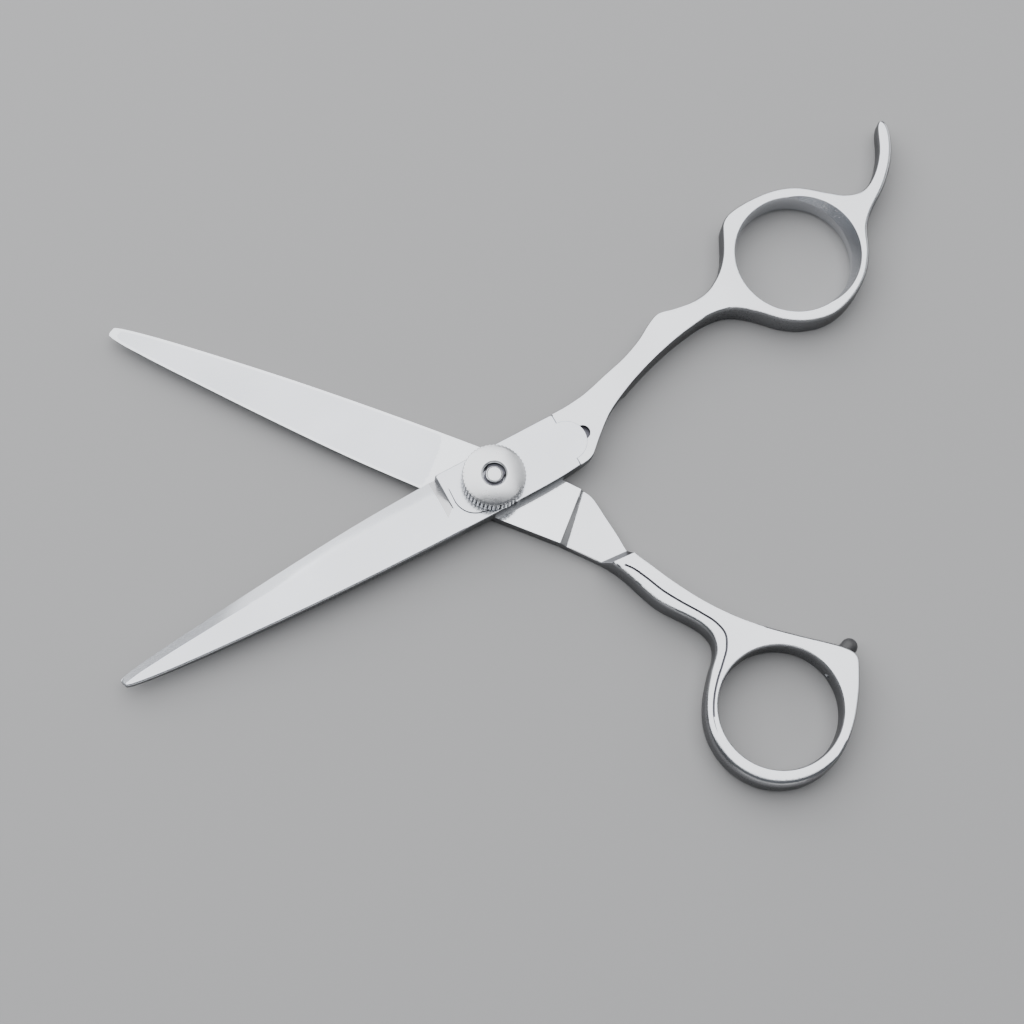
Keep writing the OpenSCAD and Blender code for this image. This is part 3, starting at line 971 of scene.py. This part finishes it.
def thumb_blade():
    """The thumb blade is turned over, so that its inner face is up. A square seat holds the screw's neck."""
    r, depth = HEAD_R + 0.03, HALF_T - HEAD_T - SEAT
    hole = [(r + 0.08, HALF_T), (r, HALF_T - 0.08), (r, depth), (SHAFT_R + SEAT, depth), (SHAFT_R + SEAT, 0)]
    over = Matrix.Translation((0, 0, HALF_T)) @ Matrix.Rotation(math.pi, 4, "X")
    piece = blade("thumb_blade", HALF_T - EDGE_T - EDGE_SLICE, -HALF_OPEN, over, hole, True)
    w = NECK_W / 2 + SEAT
    carve(piece, solid_box((-w, -w, HEAD_T / 2), (w, w, NECK_END + SEAT)), -HALF_OPEN)
    return piece


# ---- pivot, knob and bumper

def arc(centre_r, centre_z, radius_r, radius_z, start, end, steps):
    """Profile points on an ellipse, by angle in degrees."""
    angles = np.radians(np.linspace(start, end, steps + 1))
    return [(centre_r + radius_r * math.cos(a), centre_z + radius_z * math.sin(a)) for a in angles]


def pivot_screw():
    """Flat head, square neck, shaft with two flats, and a domed button at its end."""
    head = [(0, 0), (HEAD_R - 0.1, 0), (HEAD_R, 0.1), (HEAD_R, HEAD_T), (0, HEAD_T)]
    piece = make_piece("pivot_screw_turned", lathe(head, 128))
    w = NECK_W / 2
    carve(piece, solid_box((-w, -w, HEAD_T / 2), (w, w, NECK_END)), -HALF_OPEN, mode="UNION")
    flats = make_piece("flats", rod(SHAFT_R, NECK_END - 0.5, THREAD_TOP))
    for side in (-1, 1):
        low, high = sorted((side * FLAT_W / 2, side * 5))
        carve(flats, solid_box((low, -5, FINGER_Z + HALF_T), (high, 5, 20)), -HALF_OPEN)
    carve(piece, flats, mode="UNION")
    dome = [(0, THREAD_TOP - 0.5), (BUTTON_R, THREAD_TOP - 0.5)]
    dome += arc(BUTTON_R - 0.3, THREAD_TOP + 0.5, 0.3, 0.2, 0, 70, 6)
    dome += [(r, BUTTON_TOP - 0.19 * (r / BUTTON_R)**2) for r in (1.2, 1.0, 0.8, 0.6, 0.4, 0.2, 0)]
    carve(piece, lathe(dome, 96), mode="UNION")
    return piece


def flute(angle, r, z):
    """Radius change of the knob's fluted rim, which runs out at its top and bottom."""
    fade = np.interp(z, [KNOB_BASE + 0.1, KNOB_BASE + 0.3, KNOB_TOP - 1.15, KNOB_TOP - 0.8], [0.2, 1, 1, 0])
    if r < KNOB_R - 0.4:
        fade = 0
    return -FLUTE_H * fade * (0.5 + 0.5 * np.cos(FLUTES * angle))**1.5


def knob_dome(r):
    """Height of the knob's domed top."""
    return KNOB_TOP - (r * r - LIP_R**2) / (2 * DOME_R)


def tension_knob():
    """Domed knob with a fluted rim, a window at its centre, and the hollow that covers the click plate."""
    rim = KNOB_R - RIM_ROUND
    top = knob_dome(rim) - 0.03
    profile = [(CAVITY_R, KNOB_BASE), (KNOB_R - 0.3, KNOB_BASE), (KNOB_R - 0.1, KNOB_BASE + 0.08)]
    profile += [(KNOB_R, z) for z in np.linspace(KNOB_BASE + 0.2, top - RIM_ROUND, 8)]
    profile += arc(rim, top - RIM_ROUND, RIM_ROUND, RIM_ROUND, 8, 80, 6)
    profile += [(r, knob_dome(r)) for r in np.linspace(rim - 0.06, LIP_R + 0.06, 14)]
    profile += [(LIP_R, KNOB_TOP - 0.02), (LIP_R - 0.05, KNOB_TOP - 0.05), (WINDOW_R + 0.03, KNOB_TOP - 0.23),
                (WINDOW_R, KNOB_TOP - 0.3), (WINDOW_R, THREAD_TOP), (SHAFT_R + 0.03, THREAD_TOP),
                (SHAFT_R + 0.03, CAVITY_TOP), (CAVITY_R, CAVITY_TOP)]
    piece = make_piece("tension_knob_fluted", lathe(profile, FLUTES * 10, flute, ring=True), smooth=40)
    for side in (-1, 1):
        pocket = rod(POCKET_R, CAVITY_TOP - 0.5, THREAD_TOP, 32)
        carve(piece, pocket, -HALF_OPEN, placed(side * POCKET_RING, 0), smooth=40)
    return piece


def bumper():
    """Rubber button with a rounded top and a plug that holds it."""
    profile = [(0, -PLUG_END), (STEM_R - 0.08, -PLUG_END), (STEM_R, -PLUG_END + 0.08), (STEM_R, -BUMPER_SUNK),
               (BUMPER_R - 0.06, -BUMPER_SUNK), (BUMPER_R, -BUMPER_SUNK + 0.06), (BUMPER_R, 0.9)]
    profile += arc(0, 1.4, BUMPER_R, BUMPER_H - 1.4, 0, 90, 14)
    profile[-1] = (0, BUMPER_H)
    return make_piece("bumper_moulded", lathe(profile, 64), -HALF_OPEN, bumper_place())


def bumper_stud():
    """Metal stem under the bumper, which shows inside the thumb ring."""
    profile = [(0, -STUD_END), (STEM_R - 0.12, -STUD_END + 0.02), (STEM_R, -STUD_END + 0.14),
               (STEM_R, -PLUG_END - 0.06), (STEM_R - 0.06, -PLUG_END), (0, -PLUG_END)]
    return make_piece("bumper_stud_turned", lathe(profile, 48), -HALF_OPEN, bumper_place())


# ---- the pieces and their finishes

def paint(piece, finish, turn, chosen):
    """Gives a finish to faces chosen by their place in the half's own frame, height, and normal's rise."""
    mesh = piece.data
    if finish.name not in mesh.materials:
        mesh.materials.append(finish)
    index = mesh.materials.find(finish.name)
    middle = np.array([p.center[:] for p in mesh.polygons]) / MM
    rise = np.array([p.normal.z for p in mesh.polygons])
    for polygon, pick in zip(mesh.polygons, chosen(turned(middle[:, :2], -turn), middle[:, 2], rise)):
        if pick:
            polygon.material_index = index


def add_piece(piece, node, body, finish):
    """Shows a piece in place of its CAD node, in one finish for now."""
    piece.data.materials.clear()
    piece.data.materials.append(finish)
    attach(piece, body)
    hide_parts(node)
    return piece


def paint_relief_shade(piece, finish, turn, side):
    """Paints shade into the relief hole at the end of the tongue's seat. side is +1 if it opens upwards."""
    def chosen(own, z, rise):
        within = lengths(own - [RELIEF_X, 0]) < RELIEF_R + 0.02
        depth = FULL_T - z if side > 0 else z
        return within & (depth > 0.02) & (depth < TONGUE_T + 0.05)
    paint(piece, finish, turn, chosen)


def paint_side_shade(piece, finish, turn, reach=(-100, 100), steep=STEEP):
    """Paints the steep faces of a blade, between two distances from the pivot, darker, as shade."""
    def chosen(own, z, rise):
        return (np.abs(rise) < steep) & (own[:, 0] > reach[0]) & (own[:, 0] < reach[1])
    paint(piece, finish, turn, chosen)


def paint_flank_shade(piece, finish, turn, crease, bore=None):
    """Paints the walls and the steep part of a handle's flanks darker, as shade, but not the bore named."""
    def chosen(own, z, rise):
        picked = ~inside(own, crease) | (np.abs(rise) < STEEP)
        if bore is not None:
            picked &= lengths(own - bore) > BORE_R + LIP / 2
        return picked
    paint(piece, finish, turn, chosen)


def paint_ramp_shade(piece, finish, turn, step, crease):
    """Paints the ramps at both ends of the thumb haft darker, as shade."""
    def chosen(own, z, rise):
        past, butt = beside(own, step), own[:, 0] - BUTT_X
        ramp = (past > 0) & (past < STEP_RUN) | (butt > 0) & (butt < ramp_width(own[:, 1]))
        return ramp & (rise > 0.2) & (rise < 0.99) & inside(own, crease)
    paint(piece, finish, turn, chosen)


def paint_heel_shade(piece, wall, facet, turn):
    """Paints shade on the wall of the heel cut, and lighter painted shade on the facet in front of it."""
    def on_wall(own, z, rise):
        off = own[:, 0] - np.interp(own[:, 1], HEEL[::-1, 1], HEEL[::-1, 0])
        return (off > 0.005) & (off < HEEL_WALL) & (own[:, 1] > HEEL[1, 1]) & (z > FINGER_Z + 0.3)

    def on_facet(own, z, rise):
        return inside(own, np.vstack([HEEL_CUT, HEEL[:1]])) & (rise > 0.5)
    paint(piece, wall, turn, on_wall)
    paint(piece, facet, turn, on_facet)


def paint_inner(piece, face, ride, face_z, up):
    """Gives a blade's inner face its ground finish, and its ride line a polished one. up is +1 or -1."""
    def on_face(own, z, rise):
        return (np.abs(z - face_z) < HOLLOW + 0.02) & (rise * up > 0.98)

    def on_ride(own, z, rise):
        return on_face(own, z, rise) & (np.abs(z - face_z) < 0.0005)
    paint(piece, face, 0, on_face)
    paint(piece, ride, 0, on_ride)


def paint_groove_shade(piece, finish, turn):
    """Paints shade into the groove along the thumb shank."""
    line = smooth_line(GROOVE, 0.5)

    def chosen(own, z, rise):
        along = own[:, 0] - own[:, 1]
        near = (distance(own, line) < GROOVE_W) & (z > FULL_T - 1)
        return near & (along > GROOVE_SHADE_SPAN[0]) & (along < GROOVE_SHADE_SPAN[1])
    paint(piece, finish, turn, chosen)


def paint_flute_shade(piece, finish):
    """Paints shade into the bottoms of the knob's flutes."""
    def chosen(own, z, rise):
        r = lengths(own)
        return (r < KNOB_R - 0.5 * FLUTE_H) & (r > KNOB_R - FLUTE_H - 0.1) & (np.abs(rise) < 0.3)
    paint(piece, finish, 0, chosen)


def paint_window_shade(piece, finish):
    """Paints shade on the wall and floor of the knob's window, round the button."""
    def chosen(own, z, rise):
        r = lengths(own)
        return (r < WINDOW_R + 0.01) & (r > BUTTON_R - 0.05) & (z > THREAD_TOP - 0.5)
    paint(piece, finish, 0, chosen)


handle_steel = steel("handle_steel", (0.61, 0.625, 0.655), 0.22)
blade_steel = steel("blade_steel", (0.60, 0.62, 0.66), 0.2)
dish_steel = steel("dish_steel", (0.57, 0.59, 0.63), 0.16)
ride_steel = steel("ride_steel", (0.67, 0.69, 0.72), 0.08)
knob_steel = steel("knob_steel", (0.63, 0.64, 0.66), 0.3, stretch=(3, 3, 3), grain=0.0)
screw_steel = steel("screw_steel", (0.62, 0.63, 0.65), 0.25)
# Painted shade: near-black steel for the groove, the relief holes and the gap in the knob's window, where
# shade falls
recess_painted_shade = steel("recess_painted_shade", (0.12, 0.12, 0.14), 0.45)
# Painted shade: dark steel for walls and steep flanks turned from the lamps, the flute bottoms and the
# bumper's stud
side_painted_shade = steel("side_painted_shade", (0.32, 0.324, 0.335), 0.3, glance=0.45)
# Painted shade: darker steel for the thumb haft's ramps, the finger blade's wall over the thumb blade, and
# the heel cut's wall
ramp_painted_shade = steel("ramp_painted_shade", (0.30, 0.304, 0.315), 0.3, glance=0.35)
# Painted shade: slightly darker steel for the facet of the heel cut
facet_painted_shade = steel("facet_painted_shade", (0.50, 0.505, 0.525), 0.3)
race_steel = steel("race_steel", (0.70, 0.70, 0.72), 0.12)
spring_steel = steel("spring_steel", (0.42, 0.43, 0.47), 0.28)
bronze = steel("bronze", (0.72, 0.50, 0.27), 0.3)
rubber = material("bumper_rubber", (0.035, 0.035, 0.038), 0.0, 0.45)[0]

piece = add_piece(finger_blade(), "finger_blade", "finger_half", blade_steel)
paint_inner(piece, dish_steel, ride_steel, FINGER_Z, -1)
paint_side_shade(piece, side_painted_shade, HALF_OPEN)
# The finger blade's wall between heel and butt gets painted shade
paint_side_shade(piece, ramp_painted_shade, HALF_OPEN, (HEEL[0, 0] + HEEL_WALL, BUTT_X - 0.2), 0.85)
paint_heel_shade(piece, ramp_painted_shade, facet_painted_shade, HALF_OPEN)

piece, crease = finger_handle()
add_piece(piece, "finger_handle", "finger_half", handle_steel)
paint_flank_shade(piece, side_painted_shade, HALF_OPEN, crease, half_place("finger_ring_bore", HALF_OPEN))
paint_relief_shade(piece, recess_painted_shade, HALF_OPEN, 1)

piece = add_piece(thumb_blade(), "thumb_blade", "thumb_half", blade_steel)
paint_inner(piece, dish_steel, ride_steel, HALF_T, 1)
paint_side_shade(piece, side_painted_shade, -HALF_OPEN)

piece, crease = thumb_handle()
add_piece(piece, "thumb_handle", "thumb_half", handle_steel)
paint_flank_shade(piece, side_painted_shade, -HALF_OPEN, crease)
paint_ramp_shade(piece, ramp_painted_shade, -HALF_OPEN, THUMB_STEP, crease)
paint_groove_shade(piece, recess_painted_shade, -HALF_OPEN)
paint_relief_shade(piece, recess_painted_shade, -HALF_OPEN, -1)

piece = add_piece(pivot_screw(), "pivot_screw", "thumb_half", screw_steel)
paint_window_shade(piece, recess_painted_shade)

piece = add_piece(tension_knob(), "tension_knob", "knob", knob_steel)
paint_window_shade(piece, recess_painted_shade)
paint_flute_shade(piece, side_painted_shade)

add_piece(bumper(), "bumper", "thumb_half", rubber)
# The bumper's stud is given painted shade, as it sits inside the thumb ring
add_piece(bumper_stud(), "bumper_stud", "thumb_half", side_painted_shade)

INNER = {"pivot_bush": bronze, "bearing_cage": bronze, "bearing_lower_race": race_steel,
         "bearing_upper_race": race_steel, "bearing_balls": race_steel, "detent_balls": race_steel,
         "spring_washer": spring_steel, "click_plate": spring_steel, "detent_springs": spring_steel}
for node, finish in INNER.items():
    frame["nodes"][node].data.materials.clear()
    frame["nodes"][node].data.materials.append(finish)


# ---- floor, lights, camera

CAMERA_TILT = 16.0
CAMERA_AZ = -13.0
CAMERA_FAR = 450.0
CAMERA_RIGHT = 3.474
CAMERA_DOWN = 4.885
FRAME_TURN = -4.29
LENS = 89.7
FLOOR_HALF = 3.0
FLOOR_Z = -0.00005


def add_camera():
    """Looks down on the pivot at the photograph's angle, from a little below and left of it."""
    tilt, az = math.radians(CAMERA_TILT), math.radians(CAMERA_AZ)
    back = Vector((math.sin(az) * math.sin(tilt), -math.cos(az) * math.sin(tilt), math.cos(tilt)))
    up = Vector((0, 1, 0))
    up = (up - back * up.dot(back)).normalized()
    right = up.cross(back)
    spot = Vector((0, 0, HALF_T)) + back * CAMERA_FAR + right * CAMERA_RIGHT - up * CAMERA_DOWN
    spin = Matrix.Rotation(math.radians(FRAME_TURN), 4, "Z")
    pose = Matrix((right, up, back)).transposed().to_4x4()
    pose.translation = spot * MM
    data = bpy.data.cameras.new("camera")
    data.lens = LENS
    data.clip_start = 0.01
    camera = bpy.data.objects.new("camera", data)
    bpy.context.scene.collection.objects.link(camera)
    camera.matrix_world = spin @ pose
    bpy.context.scene.camera = camera


def add_light(name, place, size, brightness, aim=(0, 0, 0)):
    """A soft box: its middle, width and height, brightness, and the point that it faces."""
    data = bpy.data.lights.new(name, "AREA")
    data.shape = "RECTANGLE"
    data.size, data.size_y = size
    data.energy = brightness * math.pi * size[0] * size[1]
    lamp = bpy.data.objects.new(name, data)
    bpy.context.scene.collection.objects.link(lamp)
    lamp.location = place
    lamp.rotation_euler = (Vector(place) - Vector(aim)).to_track_quat("Z", "Y").to_euler()


def add_floor():
    """A plain pale sheet, just under the shears."""
    mesh = bpy.data.meshes.new("floor")
    corners = [(x * FLOOR_HALF, y * FLOOR_HALF, FLOOR_Z) for x, y in ((-1, -1), (1, -1), (1, 1), (-1, 1))]
    mesh.from_pydata(corners, [], [(0, 1, 2, 3)])
    floor = bpy.data.objects.new("floor", mesh)
    bpy.context.scene.collection.objects.link(floor)
    mesh.materials.append(material("floor_paper", (0.3, 0.3, 0.305), 0.0, 0.6)[0])


def add_world():
    """Faint even light from all round."""
    world = bpy.data.worlds.new("studio")
    bpy.context.scene.world = world
    world.use_nodes = True
    sky = world.node_tree.nodes["Background"]
    sky.inputs["Color"].default_value = (0.9, 0.94, 1.0, 1)
    sky.inputs["Strength"].default_value = 0.18


add_world()
add_floor()
add_light("overhead", (-0.5, 0.75, 1.1), (2.4, 2.0), 3.3, (-0.5, 0.75, 0))
add_light("upper_left", (-1.0, 2.1, 0.7), (3.4, 1.4), 2.4, (0, 0, 0.3))
add_light("front_strip", (-0.2, -2.0, 0.3), (3.0, 0.35), 2.4)
add_light("right_fill", (1.6, 0.6, 0.7), (2.0, 1.2), 1.3)
add_camera()
